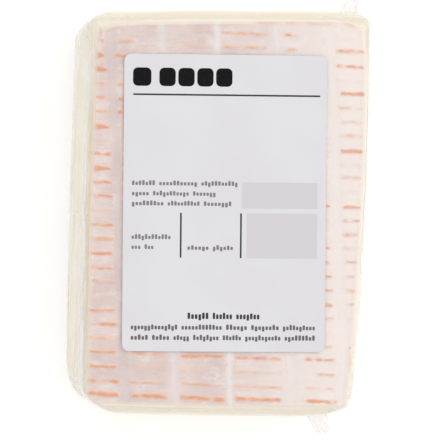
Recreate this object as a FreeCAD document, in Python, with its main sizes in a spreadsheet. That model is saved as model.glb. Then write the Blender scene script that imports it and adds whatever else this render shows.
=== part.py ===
import FreeCAD, Part
import math
import os

import Sketcher
from FreeCAD import Placement, Rotation, Vector

# A block of washed-rind cheese, cut out of a large flat cheese, wrapped tight in clear film
# and closed with a paper price label.  Millimetres.  The block lies on its back face:
# +Z is up through the shown rind face, +Y is the head end and +X the right-hand cut side.
# The origin is under the middle of the whole pack, on the surface it lies on.

doc = FreeCAD.newDocument("washed_rind_cheese")

# ---------------------------------------------------------------------------- sizes

SIZES = [
    ("thickness", 36.0, "whole cheese, from its lower to its upper rind"),
    ("slab_margin", 9.0, "what is trimmed off the slab outside each cut"),
    # four knife cuts, each a little askew and bowed along its length
    ("right_cut", 33.97, "from the origin to the rind's right edge, at its middle"),
    ("right_turn", -3.13, "degrees that the cut is askew, anticlockwise"),
    ("right_bow", 890.0, "radius of the cut in plan"),
    ("head_cut", 48.34, "from the origin to the rind's head edge, at its middle"),
    ("head_turn", 0.34, "degrees that the cut is askew, anticlockwise"),
    ("head_bow", 1400.0, "radius of the cut in plan"),
    ("left_cut", 33.9, "from the origin to the rind's left edge, at its middle"),
    ("left_turn", -1.52, "degrees that the cut is askew, anticlockwise"),
    ("left_bow", 2200.0, "radius of the cut in plan"),
    ("foot_cut", 47.61, "from the origin to the rind's foot edge, at its middle"),
    ("foot_turn", -1.19, "degrees that the cut is askew, anticlockwise"),
    ("foot_bow", 1300.0, "radius of the cut in plan"),
    # soft paste pushes each cut side out between the two stiffer rinds
    ("right_swell", 3.5, "how far the right side stands out at half height"),
    ("head_swell", 4.1, "the same, head side"),
    ("left_swell", 3.7, "the same, left side"),
    ("foot_swell", 3.4, "the same, foot side"),
    # how far each cut runs out of the upright, from the upper rind to the lower
    ("right_lean", 0.0, "right side"),
    ("head_lean", 0.0, "head side"),
    ("left_lean", 1.0, "left side"),
    ("foot_lean", 0.0, "foot side"),
    # the film pulls the swollen upright corners round
    ("right_head_round", 8.5, "radius of the corner in plan"),
    ("head_left_round", 10.5, "radius of the corner in plan"),
    ("left_foot_round", 15.5, "radius of the corner in plan"),
    ("foot_right_round", 13.0, "radius of the corner in plan"),
    ("corner_clear", 0.1, "from the swollen sides out to where a corner starts to round"),
    # the print of the ripening mat in both rinds: rows of ridges between sunk bands
    ("rim_width", 0.8, "unprinted rim that the film pulls smooth along the cuts"),
    ("row_pitch", 3.53, "from one ridge to the next"),
    ("row_wander", 0.2, "how far a strip between ridges strays from its even place"),
    ("row_slope", -2.3, "degrees that the rows turn from the width"),
    ("valley_width", 2.8, "sunk strip between two ridges, at the rind's face"),
    ("valley_depth", 0.32, "depth of that strip"),
    ("band_first", -27.15, "middle of the first sunk band, to the right of the origin"),
    ("band_gap_1", 12.6, "first to second band"),
    ("band_gap_2", 13.9, "second to third band"),
    ("band_gap_3", 15.2, "third to fourth band"),
    ("band_gap_4", 13.3, "fourth to fifth band"),
    ("band_slant", 2.2, "degrees that the bands turn from the length"),
    ("band_width", 3.0, "sunk band, at the rind's face"),
    ("band_depth", 0.45, "depth of a sunk band"),
    ("print_draft", 40.0, "degrees that the walls of the print lean out"),
    # tips of the folded film that stand out at the two right-hand corners
    ("ear_film", 0.5, "folded layers of film, pressed together"),
    ("ear_height", 7.0, "from the base of the pack to the middle of the tips"),
    ("ear_root_depth", 3.0, "how far the tips start inside the end cuts"),
    ("head_ear_inset", -0.6, "middle of its root, in from the middle of the right cut"),
    ("head_ear_root", 5.0, "width at the root"),
    ("head_ear_tip", 2.8, "width across the tip"),
    ("head_ear_lean", 1.2, "tip to the right of the root"),
    ("head_ear_out", 3.6, "how far it stands out past the swollen side"),
    ("foot_ear_inset", 10.0, "middle of its root, in from the middle of the right cut"),
    ("foot_ear_root", 8.2, "width at the root"),
    ("foot_ear_tip", 3.6, "width across the tip"),
    ("foot_ear_lean", 4.2, "tip to the right of the root"),
    ("foot_ear_out", 4.9, "how far it stands out past the swollen side"),
    # price label, stuck on the film over the rind
    ("label_width", 51.0, "paper label"),
    ("label_length", 74.25, "paper label"),
    ("label_paper", 0.2, "paper and glue"),
    ("label_round", 1.8, "corner radius of the die cut"),
    ("label_place_x", -0.45, "middle of the label"),
    ("label_place_y", 3.1, "middle of the label"),
    ("label_turn", -0.5, "degrees that it is stuck on askew"),
]

sheet = doc.addObject("Spreadsheet::Sheet", "sizes")
for row, (alias, value, note) in enumerate(SIZES, start=1):
    sheet.set(f"A{row}", alias)
    sheet.set(f"B{row}", str(value))
    sheet.setAlias(f"B{row}", alias)
    sheet.set(f"C{row}", note)
doc.recompute()


def worked_out(rule):
    """The number that an expression on the sheet gives."""
    return float(sheet.evalExpression(rule))


# ---------------------------------------------------------------------------- sketching

def origin_plane(body, role):
    """One of the body's own three origin planes."""
    return [feature for feature in body.Origin.OriginFeatures if feature.Role == role][0]


def sketch_on(body, name, plane, offset=None, turn=None):
    """A sketch on an origin plane, shifted off it or turned about the upright by a rule."""
    sketch = body.newObject("Sketcher::SketchObject", name)
    sketch.AttachmentSupport = [(origin_plane(body, plane), "")]
    sketch.MapMode = "FlatFace"
    if turn is not None:
        # on both upright planes the sketch's own y axis is the upright
        sketch.AttachmentOffset = Placement(Vector(), Rotation(Vector(0, 1, 0), worked_out(turn)))
        sketch.setExpression("AttachmentOffset.Rotation.Angle", turn)
    if offset is not None:
        sketch.setExpression(".AttachmentOffset.Base.z", offset)
    return sketch


def dimension(sketch, kind, *points, rule):
    """A driving dimension whose value is an expression on the sheet."""
    index = sketch.addConstraint(Sketcher.Constraint(kind, *points, worked_out(rule)))
    sketch.setExpression(f"Constraints[{index}]", rule)


def place_x(sketch, geometry, point, rule):
    """Hold a point at a signed distance to the right of the sketch's origin."""
    if worked_out(rule) < 0:
        dimension(sketch, "DistanceX", geometry, point, -1, 1, rule=f"-({rule})")
    else:
        dimension(sketch, "DistanceX", -1, 1, geometry, point, rule=rule)


def place_y(sketch, geometry, point, rule):
    """Hold a point at a signed distance above the sketch's origin."""
    if worked_out(rule) < 0:
        dimension(sketch, "DistanceY", geometry, point, -1, 1, rule=f"-({rule})")
    else:
        dimension(sketch, "DistanceY", -1, 1, geometry, point, rule=rule)


START, END = 1, 2  # the two ends of a sketched line or arc


def chain(sketch, corners, construction=False):
    """Straight lines from corner to corner, each corner held by its rules, with open ends."""
    points = [Vector(worked_out(x), worked_out(y), 0) for x, y in corners]
    lines = [sketch.addGeometry(Part.LineSegment(a, b), construction)
             for a, b in zip(points, points[1:])]
    for before, after in zip(lines, lines[1:]):
        sketch.addConstraint(Sketcher.Constraint("Coincident", before, END, after, START))
    held = [(lines[0], START)] + [(line, END) for line in lines]
    for (line, point), (x, y) in zip(held, corners):
        place_x(sketch, line, point, x)
        place_y(sketch, line, point, y)
    return lines


def closed_straight(sketch, corners):
    """A ring of straight lines."""
    lines = chain(sketch, corners)
    last = sketch.addGeometry(Part.LineSegment(sketch.Geometry[lines[-1]].EndPoint,
                                               sketch.Geometry[lines[0]].StartPoint), False)
    sketch.addConstraint(Sketcher.Constraint("Coincident", lines[-1], END, last, START))
    sketch.addConstraint(Sketcher.Constraint("Coincident", last, END, lines[0], START))


def closed_round(sketch, corners, radius):
    """A chain of straight lines, closed by an arc that runs anticlockwise round the inside."""
    lines = chain(sketch, corners)
    first = sketch.Geometry[lines[0]].StartPoint
    last = sketch.Geometry[lines[-1]].EndPoint
    chord = first - last
    size = worked_out(radius)
    outward = Vector(chord.y, -chord.x, 0).normalize()
    crest = (first + last) / 2 + outward * (size - math.sqrt(size ** 2 - chord.Length ** 2 / 4))
    arc = sketch.addGeometry(Part.Arc(last, crest, first), False)
    sketch.addConstraint(Sketcher.Constraint("Coincident", lines[-1], END, arc, START))
    sketch.addConstraint(Sketcher.Constraint("Coincident", arc, END, lines[0], START))
    dimension(sketch, "Radius", arc, rule=radius)


# ---------------------------------------------------------------------------- slab of cheese

# the four cuts, anticlockwise, with the direction that each one faces
CUTS = ["right", "head", "left", "foot"]
FACING = {"right": 0, "head": 90, "left": 180, "foot": 270}

cheese = doc.addObject("PartDesign::Body", "wrapped_cheese")
cheese.Label = "wrapped_cheese"
slab_outline = sketch_on(cheese, "slab_outline", "XY_Plane")
right, head, left, foot = [f"(sizes.{side}_cut + sizes.slab_margin)" for side in CUTS]
closed_straight(slab_outline, [(f"-{left}", f"-{foot}"), (right, f"-{foot}"),
                               (right, head), (f"-{left}", head)])
slab = cheese.newObject("PartDesign::Pad", "slab")
slab.Profile = slab_outline
slab.Midplane = True
slab.setExpression("Length", "sizes.thickness")

# ---------------------------------------------------------------------------- knife cuts

OVER = 2     # the cutting shapes reach this far past the slab
SWEEP = 20   # degrees of the wide circle that a cut follows
HUB = 5      # half the length of the line that a cut turns about


def knife_cut(body, side):
    """Cut one side along a wide circle, with a wall that swells out at half height."""
    sketch = sketch_on(body, f"{side}_wall", "XZ_Plane",
                       turn=f"{FACING[side]} + sizes.{side}_turn")
    upper, lower = f"sizes.{side}_cut", f"sizes.{side}_cut + sizes.{side}_lean"
    half, beyond = "sizes.thickness/2", f"sizes.{side}_cut + 3*sizes.slab_margin"
    swell = f"sizes.{side}_swell"
    closed_round(sketch, [(upper, half), (upper, f"{half} + {OVER}"),
                          (beyond, f"{half} + {OVER}"), (beyond, f"-{half} - {OVER}"),
                          (lower, f"-{half} - {OVER}"), (lower, f"-{half}")],
                 radius=f"((sizes.thickness^2 + sizes.{side}_lean^2)/4 + {swell}^2)/(2*{swell})")
    hub_x = f"sizes.{side}_cut - sizes.{side}_bow"
    chain(sketch, [(hub_x, f"-{HUB}"), (hub_x, f"{HUB}")], construction=True)
    cut = body.newObject("PartDesign::Groove", f"{side}_side")
    cut.Profile = sketch
    cut.ReferenceAxis = (sketch, ["Axis0"])
    cut.Midplane = True
    cut.Angle = SWEEP
    return cut


def round_corner(sketch, side, following):
    """Plan of what the film pulls off one upright corner: outside an arc, inside the slab."""
    radius = f"sizes.{side}_{following}_round"
    turn_a, turn_b = [f"({FACING[name]} + sizes.{name}_turn)" for name in (side, following)]

    def reach(name, other):
        """From the origin to the arc's centre, square to the named side."""
        along = f"(sizes.{other}_cut + sizes.{other}_swell - {radius})"
        return (f"(sizes.{name}_cut + sizes.{name}_lean/2 + sizes.{name}_swell"
                f" + sizes.corner_clear - {along}^2/(2*sizes.{name}_bow) - {radius})")

    reach_a, reach_b = reach(side, following), reach(following, side)
    centre_x = (f"({reach_a}*sin({turn_b}) - {reach_b}*sin({turn_a}))"
                f"/sin({turn_b} - {turn_a})")
    centre_y = (f"({reach_b}*cos({turn_a}) - {reach_a}*cos({turn_b}))"
                f"/sin({turn_b} - {turn_a})")
    out = f"({radius} + sizes.slab_margin)"
    closed_round(sketch, [
        (f"{centre_x} + {radius}*cos({turn_b})", f"{centre_y} + {radius}*sin({turn_b})"),
        (f"{centre_x} + {out}*cos({turn_b})", f"{centre_y} + {out}*sin({turn_b})"),
        (f"{centre_x} + {out}*(cos({turn_a}) + cos({turn_b}))",
         f"{centre_y} + {out}*(sin({turn_a}) + sin({turn_b}))"),
        (f"{centre_x} + {out}*cos({turn_a})", f"{centre_y} + {out}*sin({turn_a})"),
        (f"{centre_x} + {radius}*cos({turn_a})", f"{centre_y} + {radius}*sin({turn_a})"),
    ], radius=radius)


for side in CUTS:
    knife_cut(cheese, side)

corner_plan = sketch_on(cheese, "corner_plan", "XY_Plane")
for side, following in zip(CUTS, CUTS[1:] + CUTS[:1]):
    round_corner(corner_plan, side, following)
rounding = cheese.newObject("PartDesign::Pocket", "round_corners")
rounding.Profile = corner_plan
rounding.Type = "ThroughAll"
rounding.Midplane = True


# ---------------------------------------------------------------------------- print of the mat

WANDER_STEP = 137  # degrees by which one strip's stray place follows the last one's


def reach_of_rim(side, offset):
    """From the origin to the rim beside a bowed cut, at an offset along the cut."""
    return f"(sizes.{side}_cut - sizes.rim_width - ({offset})^2/(2*sizes.{side}_bow))"


def row_corner(height, side):
    """Where a line along the ridges, at a height on the middle line, meets the rim of a side."""
    turn = f"({FACING[side]} + sizes.{side}_turn)"
    x = (f"(({reach_of_rim(side, height)} - ({height})*sin({turn}))"
         f"/(cos({turn}) + tan(sizes.row_slope)*sin({turn})))")
    return x, f"{height} + {x}*tan(sizes.row_slope)"


def band_corner(place, side):
    """Where a line along the sunk bands, at a place on the cross line, meets the rim of a side."""
    turn = f"({FACING[side]} + sizes.{side}_turn)"
    y = (f"(({reach_of_rim(side, place)} - ({place})*cos({turn}))"
         f"/(sin({turn}) - tan(sizes.band_slant)*cos({turn})))")
    return f"{place} - {y}*tan(sizes.band_slant)", y


def pressed_in(body, name, sketch, depth):
    """Sink the strips of a sketch into the upper rind, with sloping walls."""
    pocket = body.newObject("PartDesign::Pocket", name)
    pocket.Profile = sketch
    pocket.setExpression("Length", depth)
    pocket.setExpression("TaperAngle", "-sizes.print_draft")
    return pocket


rows = sketch_on(cheese, "row_plan", "XY_Plane", offset="sizes.thickness/2")
outermost = worked_out("sizes.head_cut - sizes.rim_width - sizes.valley_width/2"
                       " - sizes.right_cut*abs(tan(sizes.row_slope))")
valleys = 2 * math.floor(outermost / worked_out("sizes.row_pitch") + 0.5)
for i in range(valleys):
    middle = (f"({i} - {valleys / 2 - 0.5})*sizes.row_pitch"
              f" + sizes.row_wander*sin({i * WANDER_STEP})")
    upper, lower = f"{middle} + sizes.valley_width/2", f"{middle} - sizes.valley_width/2"
    closed_straight(rows, [row_corner(lower, "left"), row_corner(lower, "right"),
                           row_corner(upper, "right"), row_corner(upper, "left")])
row_print = pressed_in(cheese, "row_print", rows, "sizes.valley_depth")

bands = sketch_on(cheese, "band_plan", "XY_Plane", offset="sizes.thickness/2")
middle = "sizes.band_first"
for gap in (1, 2, 3, 4, None):
    left, right = f"{middle} - sizes.band_width/2", f"{middle} + sizes.band_width/2"
    closed_straight(bands, [band_corner(left, "foot"), band_corner(right, "foot"),
                            band_corner(right, "head"), band_corner(left, "head")])
    middle = f"{middle} + sizes.band_gap_{gap}"
band_print = pressed_in(cheese, "band_print", bands, "sizes.band_depth")

# the cheese was turned over as it ripened, so its lower rind has the same print
both_rinds = cheese.newObject("PartDesign::Mirrored", "both_rinds")
both_rinds.Originals = [row_print, band_print]
both_rinds.MirrorPlane = (origin_plane(cheese, "XY_Plane"), [""])
cheese.Tip = both_rinds

# ---------------------------------------------------------------------------- film tips

def film_ear(body, end, side):
    """Flat tip of gathered film that stands out past one end of the block, near its corner."""
    ear = f"sizes.{end}_ear"
    sketch = sketch_on(body, f"{end}_ear_outline", "XY_Plane",
                       offset="sizes.ear_height - sizes.thickness/2")
    root_x = f"sizes.right_cut - {ear}_inset"
    tip_x = f"{root_x} + {ear}_lean"
    root_y = f"{side}*(sizes.{end}_cut - sizes.ear_root_depth)"
    tip_y = f"{side}*(sizes.{end}_cut + sizes.{end}_swell + {ear}_out)"
    # the ring runs from the tip to the root and back, so that the arc closes it at the tip
    closed_round(sketch, [(f"{tip_x} - {side}*{ear}_tip/2", tip_y),
                          (f"{root_x} - {side}*{ear}_root/2", root_y),
                          (f"{root_x} + {side}*{ear}_root/2", root_y),
                          (f"{tip_x} + {side}*{ear}_tip/2", tip_y)], radius=f"{ear}_tip")
    pad = body.newObject("PartDesign::Pad", f"{end}_ear")
    pad.Profile = sketch
    pad.Midplane = True
    pad.setExpression("Length", "sizes.ear_film")
    return pad


film_ear(cheese, "head", 1)
cheese.Tip = film_ear(cheese, "foot", -1)
cheese.setExpression(".Placement.Base.z", "sizes.thickness/2")

# ---------------------------------------------------------------------------- price label

label = doc.addObject("PartDesign::Body", "price_label")
label.Label = "price_label"
blank = sketch_on(label, "label_outline", "XY_Plane")
half_width, half_length = "sizes.label_width/2", "sizes.label_length/2"
closed_straight(blank, [(f"-{half_width}", f"-{half_length}"), (half_width, f"-{half_length}"),
                        (half_width, half_length), (f"-{half_width}", half_length)])
paper = label.newObject("PartDesign::Pad", "paper")
paper.Profile = blank
paper.setExpression("Length", "sizes.label_paper")
doc.recompute()
die_cut = label.newObject("PartDesign::Fillet", "die_cut")
upright = [f"Edge{i}" for i, edge in enumerate(paper.Shape.Edges, start=1)
           if abs(edge.Vertexes[0].Z - edge.Vertexes[-1].Z) > 1e-4]
die_cut.Base = (paper, upright)
die_cut.setExpression("Radius", "sizes.label_round")
label.Tip = die_cut
label.setExpression(".Placement.Base.x", "sizes.label_place_x")
label.setExpression(".Placement.Base.y", "sizes.label_place_y")
label.setExpression(".Placement.Base.z", "sizes.thickness")
label.Placement.Rotation = Rotation(Vector(0, 0, 1), worked_out("sizes.label_turn"))
label.setExpression(".Placement.Rotation.Angle", "sizes.label_turn")

# ---------------------------------------------------------------------------- output

doc.recompute()
for part in doc.Objects:
    if "Invalid" in part.State or "Error" in part.State:
        raise RuntimeError(f"{part.Name} is not built: {part.State}")
for body in (cheese, label):
    if body.Shape.isNull() or not body.Shape.isValid() or len(body.Shape.Solids) != 1:
        raise RuntimeError(f"{body.Label} is not one sound solid")

os.makedirs("parts", exist_ok=True)
for body in (cheese, label):
    body.Shape.exportStep(f"parts/{body.Label}.step")
    print(f"{body.Label}: {body.Shape.Volume:.0f} mm3")
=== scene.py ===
import random
from math import atan2, cos, exp, pi, radians, sin, sqrt, tan

import bmesh
import bpy
from mathutils import Matrix, Vector, noise
from mathutils.bvhtree import BVHTree


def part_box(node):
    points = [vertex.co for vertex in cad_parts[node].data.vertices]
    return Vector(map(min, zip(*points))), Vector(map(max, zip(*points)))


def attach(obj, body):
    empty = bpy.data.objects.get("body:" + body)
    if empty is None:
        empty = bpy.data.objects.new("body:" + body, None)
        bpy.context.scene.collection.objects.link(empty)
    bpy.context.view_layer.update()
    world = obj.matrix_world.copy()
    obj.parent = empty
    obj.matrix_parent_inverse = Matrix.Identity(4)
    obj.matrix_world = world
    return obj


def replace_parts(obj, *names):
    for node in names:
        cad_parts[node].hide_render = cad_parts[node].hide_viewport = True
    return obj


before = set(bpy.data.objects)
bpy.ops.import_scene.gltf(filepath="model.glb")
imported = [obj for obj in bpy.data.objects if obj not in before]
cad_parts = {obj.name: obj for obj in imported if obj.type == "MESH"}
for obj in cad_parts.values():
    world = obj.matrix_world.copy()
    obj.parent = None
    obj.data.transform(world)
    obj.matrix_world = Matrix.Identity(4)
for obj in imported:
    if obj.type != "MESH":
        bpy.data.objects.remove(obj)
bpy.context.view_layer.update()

# ------------------------------------------------------------------ block of soft paste
# Soft cream-yellow paste, cut with a knife on four sides out of a large flat cheese.  It sags
# a little once it is cut, so each side swells out between the two stiffer rinds, and the film
# pulls its upright corners round.

MM = 0.001
low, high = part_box("wrapped_cheese")
THICKNESS = high.z
FILM_GAP = 0.2 * MM        # from the paste's cut sides out to the film
RIND = 1.1 * MM            # what is rind at the top and at the bottom
TIP_HEIGHT = 7 * MM        # level of the two film tips, where the block's own side isn't read
TIP_BAND = 0.8 * MM        # nearer than this to that level, the side is read just above
PRINT_DEPTH = 0.8 * MM     # the mat's print opens the side this near to both rinds
OUTSIDE = 100 * MM         # a place well outside the block, to look in from
MEAN_REACH = 45 * MM       # about the block's mean reach; turns an angle into a length

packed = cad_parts["wrapped_cheese"].data
packed_surface = BVHTree.FromPolygons([vertex.co for vertex in packed.vertices],
                                      [face.vertices[:] for face in packed.polygons])


def raw_reach(angle, z):
    """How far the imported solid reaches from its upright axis, in one direction at one level."""
    outward = Vector((cos(angle), sin(angle), 0))
    start = outward * OUTSIDE + Vector((0, 0, z))
    return OUTSIDE - packed_surface.ray_cast(start, -outward)[3]


def reach(angle, z):
    """The same without the film tips and the mat's print, which the side is read between."""
    if abs(z - TIP_HEIGHT) < TIP_BAND:
        z = TIP_HEIGHT + TIP_BAND
    depth = min(z, THICKNESS - z)
    if depth >= PRINT_DEPTH:
        return raw_reach(angle, z)
    levels = [PRINT_DEPTH, 2 * PRINT_DEPTH]
    if z > THICKNESS / 2:
        levels = [THICKNESS - level for level in levels]
    near, far = [raw_reach(angle, level) for level in levels]
    return near - (far - near) * (1 - depth / PRINT_DEPTH)


TURNS = 2880               # even steps around the block
RUBBED = 1.3 * MM          # how much the film has rubbed off each corner, at most
RUB_SPREAD = 2.3           # how far that runs along the sides, against its depth
NO_RUB = 0.01 * MM         # as good as none, but a length that can be divided by


def turn_angle(step):
    """The direction of one of the even steps."""
    return step * 2 * pi / TURNS


def turned(angle, other):
    """How far apart two directions are."""
    return abs((angle - other + pi) % (2 * pi) - pi)


def corners_at(z):
    """The four corners at one level: each direction, distance and how far the side overhangs."""
    found = []
    for quarter in range(4):
        steps = range(quarter * TURNS // 4, (quarter + 1) * TURNS // 4)
        angle = turn_angle(max(steps, key=lambda step: reach(turn_angle(step), z)))
        away = reach(angle, z)
        found.append((angle, away, reach(angle, THICKNESS / 2) - away))
    return found


def rubbed_off(angle, corners, most):
    """How much is rubbed off in one direction: no more than the side overhangs a corner."""
    off = 0.0
    for corner, away, overhang in corners:
        rub = min(most, max(overhang, NO_RUB))
        apart = turned(angle, corner) * away
        off += rub * exp(-(apart / (RUB_SPREAD * rub)) ** 2)
    return off


def plan_at(z, corners, most):
    """A map from a square, -1 to 1 both ways, onto the block's plan at one level.

    Its corners are those given, rubbed off by up to a length."""
    rays = [reach(turn_angle(step), z) - rubbed_off(turn_angle(step), corners, most)
            for step in range(TURNS)]

    def away(angle):
        """How far the rubbed outline lies from the axis."""
        place = angle * TURNS / (2 * pi) % TURNS
        step = int(place)
        near, far = rays[step % TURNS], rays[(step + 1) % TURNS]
        return near + (far - near) * (place - step)

    points = [Vector((cos(angle), sin(angle))) * away(angle) for angle, *_ in corners]

    def place(u, v, inset):
        """The place of one point of the square, and how far it lies inside the outline."""
        ring = max(abs(u), abs(v))
        if ring == 0:
            return Vector((0, 0, z)), away(0)
        signs = ((1, 1), (-1, 1), (-1, -1), (1, -1))
        shares = [(1 + sx * u / ring) * (1 + sy * v / ring) / 4 for sx, sy in signs]
        chord = sum((point * share for point, share in zip(points, shares)), Vector((0, 0)))
        angle = atan2(chord.y, chord.x)
        out = (away(angle) - inset) * ring
        slant = abs(cos(angle)) if abs(u) > abs(v) else abs(sin(angle))
        return Vector((out * cos(angle), out * sin(angle), z)), (away(angle) - out) * slant

    return place


TOP_CORNERS = corners_at(THICKNESS)
FOOT_CORNERS = corners_at(0.0)


def smoothstep(start, end, value):
    """0 before start, 1 past end and a soft step between them."""
    share = min(max((value - start) / (end - start), 0), 1)
    return share * share * (3 - 2 * share)


def wave(x, y, z=0.0):
    """Even noise between -1 and 1 at a point given in its own lengths."""
    return noise.noise(Vector((x, y, z)))


def rim_of(bm):
    """The open edges of a sheet."""
    return [edge for edge in bm.edges if edge.is_boundary]


def draw_out(bm):
    """Doubles a sheet's open rim, joined to the old one, and gives its new vertices."""
    drawn = bmesh.ops.extrude_edge_only(bm, edges=rim_of(bm))["geom"]
    return [part for part in drawn if isinstance(part, bmesh.types.BMVert)]


def draw_down(bm, levels, side):
    """Draws a sheet's open rim down through levels; side(angle, z) places each new vertex."""
    for z in levels:
        for vertex in draw_out(bm):
            angle = atan2(vertex.co.y, vertex.co.x)
            away = side(angle, z)
            vertex.co = (away * cos(angle), away * sin(angle), z)


def finish_piece(bm, name, material, smooth=True):
    """Makes a bmesh a piece of the pack; a smooth one keeps its edges of over 50 degrees."""
    bmesh.ops.recalc_face_normals(bm, faces=bm.faces)
    mesh = bpy.data.meshes.new(name)
    bm.to_mesh(mesh)
    bm.free()
    if smooth:
        mesh.shade_smooth()
        mesh.set_sharp_from_angle(angle=radians(50))
    mesh.materials.append(material)
    piece = bpy.data.objects.new(name, mesh)
    bpy.context.scene.collection.objects.link(piece)
    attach(piece, "root")
    return piece


class Shade:
    """One output in a material's tree; arithmetic on it adds Math nodes to the tree."""

    def __init__(self, tree, socket=None):
        self.tree, self.socket = tree, socket

    def node(self, kind, settings=None, sockets=None, out=0):
        """Adds any node: its settings first, then the values or links of its sockets."""
        made = self.tree.nodes.new(kind)
        for name, value in (settings or {}).items():
            setattr(made, name, value)
        for key, value in (sockets or {}).items():
            if isinstance(value, Shade):
                self.tree.links.new(value.socket, made.inputs[key])
            else:
                made.inputs[key].default_value = value
        return Shade(self.tree, made.outputs[out] if made.outputs else None)

    def math(self, operation, *values):
        """A sum on values, which arithmetic below is made of."""
        return self.node("ShaderNodeMath", {"operation": operation}, dict(enumerate(values)))

    def __add__(self, other):
        return self.math("ADD", self, other)

    def __radd__(self, other):
        return self.math("ADD", other, self)

    def __sub__(self, other):
        return self.math("SUBTRACT", self, other)

    def __rsub__(self, other):
        return self.math("SUBTRACT", other, self)

    def __mul__(self, other):
        return self.math("MULTIPLY", self, other)

    def __rmul__(self, other):
        return self.math("MULTIPLY", other, self)

    def step(self, start, end):
        """A soft step of this value, from 0 at start to 1 at end."""
        return self.node("ShaderNodeMapRange", {"interpolation_type": "SMOOTHSTEP"},
                         {"Value": self, "From Min": start, "From Max": end})

    def noise(self, size, stretch=(1, 1, 1), detail=2.0, rough=0.5):
        """Noise from 0 to 1 whose spots are about size metres, stretched along each axis."""
        place = self.node("ShaderNodeTexCoord", out=3)
        scaled = self.node("ShaderNodeVectorMath", {"operation": "DIVIDE"},
                           {0: place, 1: tuple(size * share for share in stretch)})
        return self.node("ShaderNodeTexNoise", {},
                         {"Vector": scaled, "Scale": 1.0, "Detail": detail, "Roughness": rough})

    def attribute(self, name):
        """A value that the piece's mesh holds."""
        return self.node("ShaderNodeAttribute", {"attribute_name": name}, out=2)

    def mix(self, share, first, second):
        """A colour between two."""
        return self.node("ShaderNodeMix", {"data_type": "RGBA"},
                         {0: share, 6: first, 7: second}, out=2)

    def bump(self, height, distance, strength=1.0):
        """A normal for a relief finer than the mesh."""
        return self.node("ShaderNodeBump", {}, {"Height": height, "Distance": distance,
                                                "Strength": strength})

    def surface(self, shader):
        """Ends the material."""
        self.node("ShaderNodeOutputMaterial", {}, {"Surface": shader})


def colour(red, green, blue):
    """A colour given as it looks, from 0 to 255, as the scene's linear values."""
    linear = [(level / 255 / 12.92) if level <= 10 else ((level / 255 + 0.055) / 1.055) ** 2.4
              for level in (red, green, blue)]
    return (*linear, 1.0)


def new_material(name):
    """An empty material, and the Shade that fills its tree."""
    material = bpy.data.materials.new(name)
    material.use_nodes = True
    material.node_tree.nodes.clear()
    return material, Shade(material.node_tree)


def paste_material():
    """Cream paste, a little darker and yellower under each rind and damp to the touch."""
    material, shade = new_material("cheese_paste")
    clouds = shade.noise(9 * MM, detail=3)
    curd = shade.noise(0.9 * MM, (1, 1, 0.7), detail=4)
    under_rind = shade.attribute("under_rind")
    base = shade.mix(clouds.step(0.35, 0.7), colour(253, 246, 230), colour(250, 241, 219))
    base = shade.mix(under_rind, base, colour(236, 218, 183))
    base = shade.mix(curd.step(0.45, 0.8) * 0.3, base, colour(250, 244, 230))
    relief = shade.bump(curd * 0.7 + clouds * 0.3, 0.25 * MM, 0.5)
    shade.surface(shade.node("ShaderNodeBsdfPrincipled", {}, {
        "Base Color": base, "Roughness": 0.45 + curd * 0.15, "Normal": relief,
        "Subsurface Weight": 0.15, "Subsurface Scale": 0.003,
        "Subsurface Radius": (1.0, 0.7, 0.4)}))
    return material


DENT, PIT = 0.25 * MM, 0.05 * MM     # the paste's broad dents and its fine pits
SHOULDER = 6 * MM                    # how deep a corner is still rubbed under a rind


def paste_side(angle, z):
    """The swollen side under the film, with the shallow dents that a soft cheese takes."""
    around = angle * MEAN_REACH
    depth = min(z, THICKNESS - z)
    corners = TOP_CORNERS if z > THICKNESS / 2 else FOOT_CORNERS
    rub = rubbed_off(angle, corners, RUBBED) * (1 - smoothstep(RIND, SHOULDER, depth))
    dent = DENT * (1 + wave(around / (16 * MM), z / (9 * MM), 3.1)) / 2
    dent += PIT * (1 + wave(around / (1.6 * MM), z / (0.9 * MM), 7.7)) / 2
    return reach(angle, z) - FILM_GAP - rub - dent * smoothstep(RIND, 4 * MM, depth)


PASTE_LEVELS = 44
bm = bmesh.new()
bmesh.ops.create_circle(bm, segments=720, radius=1.0, cap_ends=True)
for vertex in bm.verts:
    angle = atan2(vertex.co.y, vertex.co.x)
    vertex.co = Vector((cos(angle), sin(angle), 0)) * (paste_side(angle, THICKNESS) - RIND)
    vertex.co.z = THICKNESS - RIND
draw_down(bm, [THICKNESS - RIND + (2 * RIND - THICKNESS) * step / PASTE_LEVELS
               for step in range(PASTE_LEVELS + 1)], paste_side)
bmesh.ops.edgeloop_fill(bm, edges=rim_of(bm))
under_rind = bm.verts.layers.float.new("under_rind")
for vertex in bm.verts:
    x, y, z = vertex.co
    angle = atan2(y, x)
    depth = min(z, THICKNESS - z) + 1.2 * MM * wave(x / (7 * MM), y / (7 * MM))
    # on the left cut it has darkened right under the rind, and at the two ends a little deeper
    on_left, on_end = smoothstep(0.5, 0.85, -cos(angle)), smoothstep(0.7, 0.9, abs(sin(angle)))
    shallow = 1 - smoothstep(1.5 * MM, 4.5 * MM, depth)
    deeper = smoothstep(1.5 * MM, 4 * MM, depth) * (1 - smoothstep(7 * MM, 12 * MM, depth))
    vertex[under_rind] = on_left * shallow + 0.7 * on_end * deeper
finish_piece(bm, "paste", paste_material())

# ------------------------------------------------------------------ two washed rinds
# The rind ripened on a mat of thin slats tied with bands: it has rows of narrow ridges between
# sunk strips.  The washing smear is orange on the ridge tops, which rub against the mat, and a
# pinkish white bloom lies in the strips and in the sunk bands.

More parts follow.
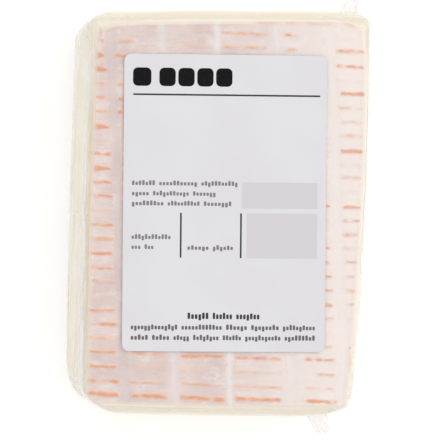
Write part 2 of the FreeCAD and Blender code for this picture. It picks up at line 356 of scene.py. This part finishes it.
ROW_PITCH = 3.53 * MM
ROW_SLOPE = radians(-2.3)
LAST_ROW = 13              # rows are counted both ways from the middle one
BANDS = [place * MM for place in (-27.15, -14.55, -0.65, 14.55, 27.85)]
BAND_HALVES = [half * MM for half in (1.2, 1.6, 1.1, 1.9, 1.5)]
BAND_WHITE = (0.1, 0.6, 1.0, 0.75, 0.7)      # how white the bloom is in each band
# In the first band, which runs along the label's left edge, the dusk is a painted shadow of the
# label; in the others it is the bloom's own greyer tone.
BAND_DUSK_AND_SHADOW = (1.0, 0.15, 0.1, 0.3, 0.1)       # and how dusky
BAND_SLANT = radians(2.2)
FIRST_CHANNEL, LAST_CHANNEL = -36 * MM, 37 * MM      # outer ends of the outermost ridges
VALLEY = 0.30 * MM         # how far the strips between the ridges lie under the ridge tops
BAND_DEPTH = 0.42 * MM     # and how far the sunk bands do
RIM = 0.7 * MM             # the rind's rounded edge
UNDER_FILM = 0.06 * MM     # from the ridge tops out to the film
LAP = 0.1 * MM             # how far a rind's edge laps over the paste

# How orange the ridges are in the rows at both ends of a rind, from the left channel, which
# lies between the left cut and the first band, to the right one.
END_ROWS = {13: (0.3, 0.25, 0.4, 0.6, 0.8, 0.3), 12: (0.4, 0.6, 0.45, 0.6, 0.7, 0.8),
            -10: (0.7, 0.65, 0.8, 0.7, 0.85, 0.3), -11: (0.35, 0.3, 0.25, 0.4, 0.7, 0.2),
            -12: (0.65, 0.65, 0.55, 0.5, 0.65, 0.3), -13: (0.85, 0.87, 0.85, 0.87, 0.9, 0.45)}
TOOTH_ROWS = (11, 10, 6, 3)      # ridges that are broad and worn at the left cut
FAINT_ROWS = (5, 0, -6)          # and those that have hardly any smear there
RIGHT_BROADER = 1.4              # the ridges of the right channel against the others
# Ridges, by row and channel, that start late or stop early, and by how many mm.
TRIMS = {(13, 1): (0.5, 5.0), (12, 1): (0.4, 4.8), (13, 2): (6.5, 0.3), (12, 2): (4.4, 1.5),
         (13, 4): (0.0, 6.6), (12, 4): (0.2, 7.0), (-10, 4): (1.9, 0.0), (-11, 4): (4.5, 0.1),
         (-12, 4): (2.0, 0.1), (-13, 4): (1.7, 0.0), (13, 5): (0.5, 3.0)}
# Stray smears, each from one place to another, and rubbed rims, each with its start, end and
# strength along one side.
SCRATCHES = [[place * MM for place in ends] for ends in (
    (-12.8, 40.8, -9.0, 43.5), (22.9, 41.0, 24.9, 43.6), (-33.4, -37.2, -30.2, -39.6),
    (-1.0, -39.2, 0.4, -36.8), (-15.9, -36.8, -14.3, -39.3), (26.4, -47.0, 27.6, -44.9),
    (15.1, -36.9, 15.5, -42.3))]
RIM_STREAKS = {"head": (6 * MM, 35 * MM, 0.7), "left": (43 * MM, 48 * MM, 0.8),
               "right": (-42 * MM, -33 * MM, 0.75)}


def dash_of(dice, row, channel):
    """One ridge between two bands: its strength, thickness, shift, ends and how it tapers."""
    strong = dice.uniform(0.55, 1.0) if dice.random() < 0.75 else dice.uniform(0.1, 0.45)
    dash = {"shift": dice.uniform(-0.2, 0.2) * MM, "strength": strong,
            "thick": dice.uniform(0.32, 0.46) * MM, "start": dice.uniform(-0.2, 0.5) * MM,
            "stop": dice.uniform(-0.2, 0.5) * MM, "tooth": 0.0,
            "tilt": dice.uniform(-0.02, 0.02), "taper": dice.uniform(-0.5, 0.5)}
    if row in END_ROWS:
        dash["strength"] = END_ROWS[row][channel]
    if (row, channel) in TRIMS:
        dash["start"], dash["stop"] = [trim * MM for trim in TRIMS[row, channel]]
    if row == -LAST_ROW:
        dash["thick"] = dice.uniform(0.54, 0.68) * MM
    if channel == len(BANDS):
        dash["thick"] *= RIGHT_BROADER
    if channel == 0:
        dash.update(start=-1 * MM, strength=max(dash["strength"], dice.uniform(0.6, 0.9)))
        if row in TOOTH_ROWS:
            dash.update(tooth=dice.uniform(0.65, 0.9) * MM, strength=1.0, taper=1.6)
        if row in FAINT_ROWS:
            dash["strength"] = 0.3
    return dash


def ridge_map(seed):
    """All ridges of one rind, by row and channel."""
    dice = random.Random(seed)
    return {(row, channel): dash_of(dice, row, channel)
            for row in range(-LAST_ROW, LAST_ROW + 1) for channel in range(len(BANDS) + 1)}


def left_edge(y):
    """Where the upper rind's left cut lies, at a place along the length."""
    ends = [Vector((cos(angle), sin(angle))) * LEFT_REACH[angle] for angle in LEFT_REACH]
    share = (y - ends[0].y) / (ends[1].y - ends[0].y)
    return ends[0].x + (ends[1].x - ends[0].x) * share


def near_line(x, y, line):
    """How far a point lies from a straight scratch."""
    start, end = Vector(line[:2]), Vector(line[2:])
    along = (Vector((x, y)) - start).dot(end - start) / (end - start).length_squared
    return (Vector((x, y)) - start.lerp(end, min(max(along, 0), 1))).length


def on_mat(x, y):
    """A point's place across the mat's bands and along its length; nothing on it is straight."""
    across = x + y * tan(BAND_SLANT) + 0.35 * MM * wave(x / (9 * MM), y / (9 * MM), 1.3)
    along = y - x * tan(ROW_SLOPE) + 0.16 * MM * wave(x / (7 * MM), y / (7 * MM), 5.1)
    return across, along


def dash_span(dash, left, right, across):
    """1 between the two ends of a ridge and 0 past them."""
    start, stop = left + dash["start"], right - dash["stop"]
    return smoothstep(start - 0.6 * MM, start + 0.5 * MM, across) * \
        (1 - smoothstep(stop - 0.7 * MM, stop + 0.5 * MM, across))


def dash_thickness(dash, run, row, channel, x, y):
    """How thick a ridge is at a point, of which run is the share of its length."""
    thick = dash["thick"] * max(1 - dash["taper"] * (run - 0.5), 0.15)
    thick *= 1 + 0.5 * wave(x / (1.9 * MM), row * 3.7, channel * 1.9)
    thick += dash["tooth"] * max(1 - (x - left_edge(y)) / (3.6 * MM), 0)
    return thick + 0.12 * MM * wave(x / (0.5 * MM), y / (0.5 * MM), 14.0)


def ridge_at(ridges, x, y):
    """How much ridge there is at a point, and how orange it is."""
    across, along = on_mat(x, y)
    channel = sum(across > place for place in BANDS)
    row = max(min(round(along / ROW_PITCH), LAST_ROW), -LAST_ROW)
    dash = ridges[row, channel]
    left = BANDS[channel - 1] + BAND_HALVES[channel - 1] if channel > 0 else FIRST_CHANNEL
    right = BANDS[channel] - BAND_HALVES[channel] if channel < len(BANDS) else LAST_CHANNEL
    frayed = 0.6 * MM * wave(x / (0.8 * MM), y / (0.35 * MM), 4.0)
    span = dash_span(dash, left, right, across + frayed)
    off = along - row * ROW_PITCH - dash["shift"] - dash["tilt"] * (across - (left + right) / 2)
    off += 0.14 * MM * wave(x / (1.7 * MM), row * 1.7, channel * 2.3)
    run = min(max((across - left) / (right - left), 0), 1)
    thick = dash_thickness(dash, run, row, channel, x, y)
    ridge = 1 - smoothstep(thick * 0.1, thick * 1.4 + 0.22 * MM, abs(off))
    ridge *= 0.9 + 0.35 * wave(x / (1.4 * MM), y / (0.5 * MM), 17.0)
    glow = 1 - smoothstep(0.3 * MM, 1.5 * MM, abs(off) + 0.4 * MM * wave(x / MM, y / MM, 21))
    patchy = smoothstep(-0.75, 0.15, wave(x / (2.3 * MM), row * 2.3, 11 + channel))
    orange = (ridge * (0.3 + 0.7 * patchy) + 0.17 * glow) * span * dash["strength"]
    return ridge * span * (0.4 + 0.6 * dash["strength"]), orange


def band_at(x, y):
    """The nearest sunk band: how much of it there is, its number and how far off its middle."""
    across, _ = on_mat(x, y)
    index = min(range(len(BANDS)), key=lambda number: abs(across - BANDS[number]))
    off, half = across - BANDS[index], BAND_HALVES[index]
    band = 1 - smoothstep(half - 0.6 * MM, half + 0.4 * MM, abs(off))
    return band, index, off + 0.5 * MM * wave(y / (6 * MM), index * 3.1)


def scratched(x, y):
    """How orange a stray scratch makes a point."""
    off = min(near_line(x, y, line) for line in SCRATCHES)
    return 0.5 * (1 - smoothstep(0.05 * MM, 0.42 * MM, off)) * \
        smoothstep(-0.45, 0.3, wave(x / (0.9 * MM), y / (0.9 * MM), 6.0))


def rim_streak(u, v, x, y, to_edge):
    """How orange the rubbed edge of the rind is."""
    if abs(u) > abs(v):
        side, place = ("right" if u > 0 else "left"), y
    else:
        side, place = ("head" if v > 0 else "foot"), x
    if side not in RIM_STREAKS:
        return 0
    start, end, strength = RIM_STREAKS[side]
    inside = smoothstep(start, start + 3 * MM, place) * (1 - smoothstep(end - 3 * MM, end, place))
    wide = 0.3 * MM * (1 + 0.7 * wave(place / (5 * MM), 3.3))
    return strength * inside * (1 - smoothstep(wide, wide + 0.45 * MM, to_edge)) * \
        (0.85 + 0.35 * wave(place / (3 * MM), 8.8))


RIND_SHARES = ("orange", "rim", "band", "dusk_and_shadow", "painted_glare")      # what the mesh says of its colours


def rind_material():
    """Bloomy pinkish white with orange ridge tops; greyer and pinker in large soft clouds."""
    material, shade = new_material("washed_rind")
    orange, rim, band, dusk_and_shadow, painted_glare = [shade.attribute(share) for share in RIND_SHARES]
    clouds = shade.noise(9 * MM, (1, 1.3, 1), detail=3)
    streaks = shade.noise(1.1 * MM, (4.5, 0.7, 1), detail=3)
    lines = shade.noise(0.55 * MM, (9, 0.7, 1), detail=2)
    bloom = shade.noise(2.6 * MM, (1.4, 1, 1), detail=4, rough=0.65)
    grain = shade.noise(0.35 * MM, detail=3)
    base = shade.mix(clouds.step(0.36, 0.64), colour(236, 216, 209), colour(224, 203, 198))
    base = shade.mix(streaks.step(0.5, 0.72) * 0.6, base, colour(219, 204, 203))
    base = shade.mix(bloom.step(0.48, 0.72) * 0.7, base, colour(245, 234, 231))
    base = shade.mix(lines.step(0.56, 0.74) * 0.45, base, colour(206, 190, 190))
    base = shade.mix(band * (0.5 + clouds * 0.6), base, colour(246, 239, 238))
    # dusky grey in the sunk bands; in the first band it is a painted shadow along the label's
    # left edge
    base = shade.mix(dusk_and_shadow * (0.6 + bloom * 0.6), base, colour(214, 193, 189))
    # painted glare: the rind is painted paler towards the right, for the film's shine under the
    # light from the right
    base = shade.mix(painted_glare, base, colour(252, 240, 233))
    base = shade.mix(grain.step(0.5, 0.8) * 0.2, base, colour(244, 233, 228))
    tone = shade.mix(orange.step(0.4, 0.95), colour(242, 203, 182), colour(231, 168, 132))
    tone = shade.mix(streaks.step(0.4, 0.7) * 0.3, tone, colour(220, 152, 122))
    # the painted glare also pales the orange of the ridges
    seen = orange * (0.8 + grain * 0.6) * (1 - painted_glare * 0.58)
    base = shade.mix(seen.step(0.02, 0.72), base, tone)
    # pale peach rolled edge and skirt: partly the rind edge's own colour, partly painted light
    # made paler to lift the shade on the upright skirt
    base = shade.mix(rim, base, colour(252, 234, 219))
    relief = shade.bump(grain * 0.5 + streaks * 0.5, 0.15 * MM, 0.7)
    shade.surface(shade.node("ShaderNodeBsdfPrincipled", {}, {
        "Base Color": base, "Roughness": 0.62 + grain * 0.2 - orange * 0.2, "Normal": relief,
        "Subsurface Weight": 0.08, "Subsurface Scale": 0.002,
        "Subsurface Radius": (1.0, 0.6, 0.4)}))
    return material


def rind_at(ridges, u, v, x, y, to_edge):
    """One point of a rind: how far it lies inside the film, and its shares of each colour."""
    ridge, tint = ridge_at(ridges, x, y)
    band, index, to_middle = band_at(x, y)
    blot = smoothstep(0.35, 0.75, wave(x / (2.6 * MM), y / (1.1 * MM), 30.5))
    tint += 0.16 * blot * (1 - band)
    rubbed = rim_streak(u, v, x, y, to_edge)
    streak = exp(-(to_middle / (0.6 * MM)) ** 2)
    shares = {
        "orange": max(tint * smoothstep(0.0, 0.25 * MM, to_edge), scratched(x, y), rubbed),
        # the rolled edge's own pale peach, painted paler to lift the shade on its upright skirt
        "rim": 0.85 * (1 - smoothstep(0.15 * MM, 0.6 * MM, to_edge)) *
        (1 - min(rubbed + 0.7 * tint, 1)),
        "band": band * BAND_WHITE[index] * (0.25 + 0.75 * streak),
        # dusk, and in the first band a painted shadow of the label's left edge
        "dusk_and_shadow": band * BAND_DUSK_AND_SHADOW[index] * (0.6 + 0.7 * wave(x / (5 * MM), y / (8 * MM), 40.0)),
        # painted glare, paler towards the right where the light comes from
        "painted_glare": 0.85 * smoothstep(-8 * MM, 34 * MM, x)}
    sunk = VALLEY * (1 - ridge) + (BAND_DEPTH - VALLEY) * band
    sunk -= 0.05 * MM * wave(x / (1.3 * MM), y / (1.1 * MM), 2.2)
    sunk -= 0.06 * MM * wave(x / (6 * MM), y / (6 * MM), 9.2)
    rolled = RIM * (1 - sqrt(max(0, 1 - (1 - min(to_edge / RIM, 1)) ** 2)))
    inside = smoothstep(0.3 * MM, 1.1 * MM, to_edge)
    return UNDER_FILM + sunk * inside + rolled, shares


def make_rind(name, seed, top, cell_x, cell_y, material):
    """One rind with the mat's print on its face; the lower one faces down."""
    ridges = ridge_map(seed)
    face = THICKNESS if top else 0.0
    inward = -1 if top else 1
    plan = plan_at(face, TOP_CORNERS if top else FOOT_CORNERS, RUBBED)
    bm = bmesh.new()
    bmesh.ops.create_grid(bm, x_segments=round((high.x - low.x) / cell_x),
                          y_segments=round((high.y - low.y) / cell_y), size=1.0)
    layers = {share: bm.verts.layers.float.new(share) for share in RIND_SHARES}
    for vertex in bm.verts:
        u, v = vertex.co.x, vertex.co.y
        place, to_edge = plan(u, v, UNDER_FILM)
        depth, shares = rind_at(ridges, u, v, place.x, place.y, to_edge)
        for share, layer in layers.items():
            vertex[layer] = shares[share]
        vertex.co = (place.x, place.y, face + inward * depth)
    draw_down(bm, [face + inward * (RIND + LAP)], paste_side)
    bmesh.ops.edgeloop_fill(bm, edges=rim_of(bm))
    finish_piece(bm, name, material)


# the left cut is read in two directions, and each rind takes its own print from a seed
LEFT_REACH = {angle: reach(angle, THICKNESS) for angle in (radians(150), radians(210))}
UPPER_PRINT, LOWER_PRINT = 5, 8
rind_look = rind_material()
make_rind("upper_rind", UPPER_PRINT, True, 0.42 * MM, 0.26 * MM, rind_look)
make_rind("lower_rind", LOWER_PRINT, False, 0.62 * MM, 0.4 * MM, rind_look)

# ------------------------------------------------------------------ clear film
# Thin stretch film, wrapped tight around the block: it lies on the ridge tops, bridges the
# sunk strips, and has long shallow pleats along the cut sides; where it lifts, a painted
# whitish sheen stands in for its reflections.

FILM_ROUND = 0.9 * MM      # how round it turns over both rinds
PLEAT = 0.25 * MM          # how far it lifts off the cut sides in pleats
FILM_LEVELS = 60


def film_material():
    """Clear film: it mirrors a little, more at a slant, and where it has lifted it takes a
    painted whitish sheen in place of its reflections.
    """
    material, shade = new_material("clear_film")
    painted_sheen = shade.attribute("painted_sheen")
    facing = shade.node("ShaderNodeLayerWeight", {}, {"Blend": 0.5}, out=1)
    gloss = 0.035 + facing.math("POWER", facing, 6.0) * 0.35
    fine = shade.noise(2.0 * MM, (1, 3, 1), detail=2)
    relief = shade.bump(fine, 0.12 * MM, 0.5)
    clear = shade.node("ShaderNodeBsdfTransparent", {}, {"Color": (1, 1, 1, 1)})
    # the painted sheen: a whitish surface that stands in for the film's reflections
    painted_white = shade.node("ShaderNodeBsdfPrincipled", {}, {
        "Base Color": colour(254, 252, 250), "Roughness": 0.35})
    mirror = shade.node("ShaderNodeBsdfPrincipled", {}, {
        "Base Color": (0.97, 0.97, 0.97, 1), "Metallic": 1.0, "Roughness": 0.12,
        "Normal": relief})
    film_with_sheen = shade.node("ShaderNodeMixShader", {}, {0: painted_sheen, 1: clear, 2: painted_white})
    shade.surface(shade.node("ShaderNodeMixShader", {}, {0: gloss, 1: film_with_sheen, 2: mirror}))
    return material


def gathered(angle, z):
    """Upright folds where the film turns an upright corner, from 0 to 1."""
    nearest = min(turned(angle, corner) for corner, *_ in TOP_CORNERS)
    fold = 0.5 + 0.6 * wave(angle * MEAN_REACH / (1.4 * MM), z / (12 * MM), 6.3)
    return (1 - smoothstep(0.05, 0.2, nearest)) * min(max(fold, 0), 1)


def pleats(angle, z):
    """How far the film has lifted into long shallow pleats at one place, from 0 to 1."""
    around = angle * MEAN_REACH
    drift = z + 0.02 * around + 1.2 * MM * wave(around / (22 * MM), 0.4)
    broad = wave(around / (30 * MM), drift / (4.2 * MM), 1.7)
    narrow = wave(around / (14 * MM), drift / (1.7 * MM), 4.9)
    return min(max(0.5 + 0.55 * broad + 0.3 * narrow + 0.3 * gathered(angle, z), 0), 1)


def film_side(angle, z):
    """The film on a cut side: drawn in between pleats, and round at both rinds."""
    from_edge = min(z, THICKNESS - z)
    turn = FILM_ROUND * (1 - sqrt(max(0, 1 - (1 - min(from_edge / FILM_ROUND, 1)) ** 2)))
    return reach(angle, z) - turn - PLEAT * (1 - pleats(angle, z))


def painted_film_sheen(angle, z):
    """How much painted whitish sheen the film takes on a cut side, for its reflections: in lifted
    pleats, where it leaves the rind and at the corners.
    """
    around = angle * MEAN_REACH
    depth = min(z, THICKNESS - z)
    # a painted white streak where the film leaves the rind stands in for a reflection along the
    # side
    leaving = depth - 4.2 * MM - 1.6 * MM * wave(around / (13 * MM), 2.6)
    streak = 0.75 * (1 - smoothstep(0.2 * MM, 2.6 * MM, abs(leaving)))
    streak *= 0.8 + 0.7 * wave(around / (9 * MM), 5.5)
    painted_white = 0.5 * smoothstep(0.4, 0.9, pleats(angle, z)) + streak + 0.5 * gathered(angle, z)
    tighter_at_ends = 1 - 0.7 * smoothstep(0.6, 0.9, abs(sin(angle)))
    return min(painted_white * tighter_at_ends, 0.85) * smoothstep(0.9 * MM, 2 * MM, depth)


film_look = film_material()
film_plan = plan_at(THICKNESS, TOP_CORNERS, NO_RUB)
ridges = ridge_map(UPPER_PRINT)
bm = bmesh.new()
bmesh.ops.create_grid(bm, x_segments=120, y_segments=180, size=1.0)
painted_sheen = bm.verts.layers.float.new("painted_sheen")
for vertex in bm.verts:
    place, _ = film_plan(vertex.co.x, vertex.co.y, FILM_ROUND)
    ridge, _ = ridge_at(ridges, place.x, place.y)
    band, *_ = band_at(place.x, place.y)
    sag = 0.03 * MM * (1 - ridge) + 0.05 * MM * band
    # a faint painted sheen where the film bridges the sunk bands, for its reflections there
    vertex[painted_sheen] = 0.16 * band * (1 - ridge)
    vertex.co = (place.x, place.y, THICKNESS - 0.01 * MM - sag)
levels = [THICKNESS - FILM_ROUND * share for share in (0.1, 0.3, 0.6)]
levels += [THICKNESS - FILM_ROUND + (2 * FILM_ROUND - THICKNESS) * step / FILM_LEVELS
           for step in range(FILM_LEVELS + 1)]
levels += [FILM_ROUND * share for share in (0.6, 0.3, 0.1, 0.01)]
draw_down(bm, levels, film_side)
bmesh.ops.edgeloop_fill(bm, edges=rim_of(bm))
for vertex in bm.verts:
    x, y, z = vertex.co
    if z < THICKNESS - 0.1 * MM:
        vertex[painted_sheen] = painted_film_sheen(atan2(y, x), z)
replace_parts(finish_piece(bm, "film", film_look), "wrapped_cheese")

# ------------------------------------------------------------------ two film tips
# Where the film is gathered at the right-hand corners, its folded end stands out as a flat,
# crumpled tip that is almost clear, with a painted whitish sheen for the reflections of its
# folds.

TIP_LAYERS = 0.25 * MM     # thickness of the folded layers
TIP_FOLD = 0.4 * MM        # how far they rise and dip at the outer end
TIP_ROOT = 0.8 * MM        # how far a tip goes into the block
for name, middle in (("head_film_tip", radians(58)), ("foot_film_tip", radians(-65))):
    turns = [middle + radians(step / 10) for step in range(-140, 141)]
    stands = [angle for angle in turns
              if raw_reach(angle, TIP_HEIGHT) - reach(angle, TIP_HEIGHT) > 0.2 * MM]
    bm = bmesh.new()
    bmesh.ops.create_grid(bm, x_segments=36, y_segments=22, size=0.5)
    painted_sheen = bm.verts.layers.float.new("painted_sheen")
    for vertex in bm.verts:
        across, out = vertex.co.x + 0.5, vertex.co.y + 0.5
        angle = stands[0] + (stands[-1] - stands[0]) * across
        near = reach(angle, TIP_HEIGHT) - TIP_ROOT
        far = raw_reach(angle, TIP_HEIGHT) - 0.1 * MM
        away = near + (far - near) * out
        fold = wave(across * 7, out * 1.5, middle) + 0.5 * wave(across * 15, out * 4, middle)
        # a painted whitish sheen on the tips, more on their folds
        vertex[painted_sheen] = 0.4 + 0.3 * smoothstep(0.1, 0.5, fold)
        vertex.co = (away * cos(angle), away * sin(angle), TIP_HEIGHT + TIP_FOLD * fold * out)
    bmesh.ops.solidify(bm, geom=bm.faces[:], thickness=TIP_LAYERS)
    finish_piece(bm, name, film_look)

# ------------------------------------------------------------------ price label
# A die-cut paper label with round corners, stuck on the film over the rind.  Its paper is
# thin enough to show, very faintly, the sunk bands that it bridges.

label_low, label_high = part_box("price_label")
LABEL_WIDTH, LABEL_LENGTH, LABEL_ROUND = 51 * MM, 74.25 * MM, 1.8 * MM
LABEL_TURN = radians(-0.5)
PAPER = 0.16 * MM          # thickness of the paper and its glue
label_middle = (label_low + label_high) / 2
label_place = Matrix.Translation((label_middle.x, label_middle.y, 0)) @ \
    Matrix.Rotation(LABEL_TURN, 4, "Z")


def paper_level(x, y):
    """How high the top of the paper lies at a place on the pack."""
    across = x + y * tan(BAND_SLANT)
    nearest = min(abs(across - place) for place in BANDS)
    dip = 0.015 * MM * (1 - smoothstep(0, 2.4 * MM, nearest))
    return label_low.z + PAPER - dip - 0.01 * MM * (1 + wave(x / (17 * MM), y / (17 * MM)))


def paper_material():
    """Smooth white paper, faintly clouded."""
    material, shade = new_material("label_paper")
    fibre = shade.noise(0.5 * MM, (1, 2.5, 1), detail=3)
    clouds = shade.noise(20 * MM, detail=2)
    base = shade.mix(clouds.step(0.35, 0.65), colour(226, 224, 227), colour(229, 228, 231))
    relief = shade.bump(fibre, 0.02 * MM, 0.4)
    shade.surface(shade.node("ShaderNodeBsdfPrincipled", {}, {
        "Base Color": base, "Roughness": 0.55 + fibre * 0.1, "Normal": relief}))
    return material


bm = bmesh.new()
bmesh.ops.create_grid(bm, x_segments=1, y_segments=1, size=0.5)
bmesh.ops.scale(bm, vec=(LABEL_WIDTH, LABEL_LENGTH, 1), verts=bm.verts)
bmesh.ops.bevel(bm, geom=bm.verts[:], offset=LABEL_ROUND, segments=8, profile=0.5,
                affect="VERTICES", material=-1)
for cells, length, normal in ((34, LABEL_WIDTH, Vector((1, 0, 0))),
                              (30, LABEL_LENGTH, Vector((0, 1, 0)))):
    for cut in range(1, cells):
        bmesh.ops.bisect_plane(bm, geom=bm.verts[:] + bm.edges[:] + bm.faces[:],
                               plane_co=normal * (length * (cut / cells - 0.5)),
                               plane_no=normal)
bmesh.ops.transform(bm, matrix=label_place, verts=bm.verts)
for vertex in bm.verts:
    vertex.co.z = paper_level(vertex.co.x, vertex.co.y)
for vertex in draw_out(bm):
    vertex.co.z = label_low.z
bmesh.ops.edgeloop_fill(bm, edges=rim_of(bm))
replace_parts(finish_piece(bm, "label", paper_material(), smooth=False),
            "price_label")

# ------------------------------------------------------------------ print on the label
# Plain printed shapes only: five dark rounded blocks at the head, thin rules, two pale grey
# fields for the weighed values, and rows of short bars where a label has its small print.

INK = 0.012 * MM           # how far the print stands over the paper, and goes into it


def print_bars(name, bars, rounding, material):
    """Flat printed bars, each given by its middle, width and height on the label in mm."""
    bm = bmesh.new()
    for middle_x, middle_y, width, height in bars:
        start = set(bm.verts)
        bmesh.ops.create_grid(bm, x_segments=1, y_segments=1, size=0.5)
        made = [vertex for vertex in bm.verts if vertex not in start]
        bmesh.ops.scale(bm, vec=(width * MM, height * MM, 1), verts=made)
        bmesh.ops.translate(bm, vec=(middle_x * MM, middle_y * MM, 0), verts=made)
        if rounding:
            bmesh.ops.bevel(bm, geom=made, offset=min(rounding, height / 2.05) * MM, segments=4,
                            profile=0.5, affect="VERTICES", material=-1)
    bmesh.ops.transform(bm, matrix=label_place, verts=bm.verts)
    for vertex in bm.verts:
        vertex.co.z = paper_level(vertex.co.x, vertex.co.y) + INK
    for vertex in draw_out(bm):
        vertex.co.z -= 2 * INK
    bmesh.ops.holes_fill(bm, edges=rim_of(bm))
    finish_piece(bm, name, material, smooth=False)


def ink_material(name, tone):
    """Flat ink with a faint speckle of the paper under it."""
    material, shade = new_material(name)
    speckle = shade.noise(0.25 * MM, detail=2)
    base = shade.mix(speckle.step(0.6, 0.85) * 0.08, tone, colour(226, 224, 227))
    shade.surface(shade.node("ShaderNodeBsdfPrincipled", {}, {
        "Base Color": base, "Roughness": 0.5 + speckle * 0.1,
        "Specular IOR Level": 0.12}))
    return material


def small_print(dice, left, right, y, words, height):
    """One row of dummy small print, in mm: words of plain bars, some of which stand taller."""
    gap, letter = 0.85, 0.86      # between two words, and what one bar takes up
    shares = [dice.uniform(0.6, 1.5) for _ in range(words)]
    room = right - left - gap * (words - 1)
    bars, start = [], left
    for share in shares:
        width = room * share / sum(shares)
        letters = max(round(width / letter), 1)
        for number in range(letters):
            taller = dice.choice((0, 0, 0, 0.3, 0.4, -0.35))
            bars.append((start + (number + 0.45) * width / letters, y + taller / 2,
                         0.72 * width / letters, height + abs(taller)))
        start += width + gap
    return bars


# all of these are given by their middle, width and height in mm, from the label's middle
MARKS = [(-21.0, 31.4, 4.6, 4.6)] + [(-14.65 + 4.75 * number, 31.4, 4.1, 4.6)
                                     for number in range(4)]
RULES = [(0.3, 27.0, 47, 0.42), (-11.0, -8.1, 0.42, 11.2), (4.1, -8.1, 0.42, 11.2)]
FIELDS = [(13.8, 2.0, 19.0, 6.5), (14.45, -8.1, 17.75, 11.25)]
# and each of these rows by its left end, right end, level and number of words
PALE_ROWS = [(-23.4, 3.3, 4.75, 3), (-23.4, -2.2, 2.2, 3), (-23.4, 1.8, -0.3, 3),
             (-23.4, -13.4, -8.7, 1), (-23.4, -17.7, -11.2, 2), (-9.4, 2.3, -11.3, 2)]
DARK_ROWS = [(6.9, 22.4, -11.4, 2), (-23.4, 23.1, -31.2, 5), (-23.4, 23.1, -33.8, 7)]
BOLD_ROWS = [(-9.2, 9.1, -28.4, 3)]

print_bars("label_mark", MARKS, 1.2, ink_material("dark_ink", colour(12, 10, 12)))
print_bars("label_rules", RULES, 0, ink_material("rule_ink", colour(62, 54, 62)))
print_bars("label_fields", FIELDS, 0, ink_material("grey_ink", colour(218, 213, 216)))
dice = random.Random(21)
for name, rows, tone, height in (("label_words", PALE_ROWS, colour(138, 132, 137), 0.85),
                                 ("label_dark_words", DARK_ROWS, colour(112, 106, 111), 0.95),
                                 ("label_bold_words", BOLD_ROWS, colour(70, 64, 68), 1.2)):
    bars = [bar for left, right, y, words in rows
            for bar in small_print(dice, left, right, y, words, height)]
    print_bars(name, bars, 0.25, ink_material(name, tone))

# ------------------------------------------------------------------ floor, light and camera
# A plain pale table under a large soft light from the right, seen from above through a long
# lens that stands a little to the left.

scene = bpy.context.scene
scene.view_settings.view_transform = "Standard"


def white_to_sight(shade):
    """1 for rays from the camera, and for mirrored and refracted ones."""
    seen = [shade.node("ShaderNodeLightPath", out=name)
            for name in ("Is Camera Ray", "Is Glossy Ray", "Is Transmission Ray")]
    return shade.math("MINIMUM", seen[0] + seen[1] + seen[2], 1.0)


material, shade = new_material("floor")
shade.surface(shade.node("ShaderNodeBsdfPrincipled", {}, {
    "Base Color": (0.9, 0.9, 0.9, 1), "Roughness": 0.9, "Emission Color": (1, 1, 1, 1),
    "Emission Strength": white_to_sight(shade) * 0.3}))
bm = bmesh.new()
bmesh.ops.create_grid(bm, x_segments=1, y_segments=1, size=1.5)
mesh = bpy.data.meshes.new("floor")
bm.to_mesh(mesh)
bm.free()
mesh.materials.append(material)
floor = bpy.data.objects.new("floor", mesh)
scene.collection.objects.link(floor)

world = bpy.data.worlds.new("studio")
scene.world = world
world.use_nodes = True
world.node_tree.nodes.clear()
shade = Shade(world.node_tree)
sky = shade.node("ShaderNodeBackground", {}, {
    "Color": (1, 1, 1, 1), "Strength": 0.86 + white_to_sight(shade) * 0.14})
shade.node("ShaderNodeOutputWorld", {}, {"Surface": sky})


SOFTBOX_PLACE = Vector((0.75, 0.45, 0.95))
SOFTBOX_AIM = Vector((0, 0, 0.02))
lamp = bpy.data.lights.new("softbox", "AREA")
lamp.shape, lamp.size, lamp.energy = "SQUARE", 0.9, 3.0
softbox = bpy.data.objects.new("softbox", lamp)
softbox.location = SOFTBOX_PLACE
softbox.rotation_euler = (SOFTBOX_AIM - SOFTBOX_PLACE).to_track_quat("-Z", "Y").to_euler()
scene.collection.objects.link(softbox)

VIEW_WIDTH = 0.11          # what the lens takes in at the level of the upper rind
DISTANCE = 1.1
LEAN = radians(6)          # how far the camera stands to the left of straight above
AIM = Vector((-1.65 * MM, -1.1 * MM, THICKNESS))
camera = bpy.data.cameras.new("camera")
camera.sensor_width = 36
camera.lens = camera.sensor_width * DISTANCE / VIEW_WIDTH
view = bpy.data.objects.new("camera", camera)
view.location = AIM + DISTANCE * Vector((-sin(LEAN), 0, cos(LEAN)))
view.rotation_euler = (0, -LEAN, 0)
scene.collection.objects.link(view)
scene.camera = view
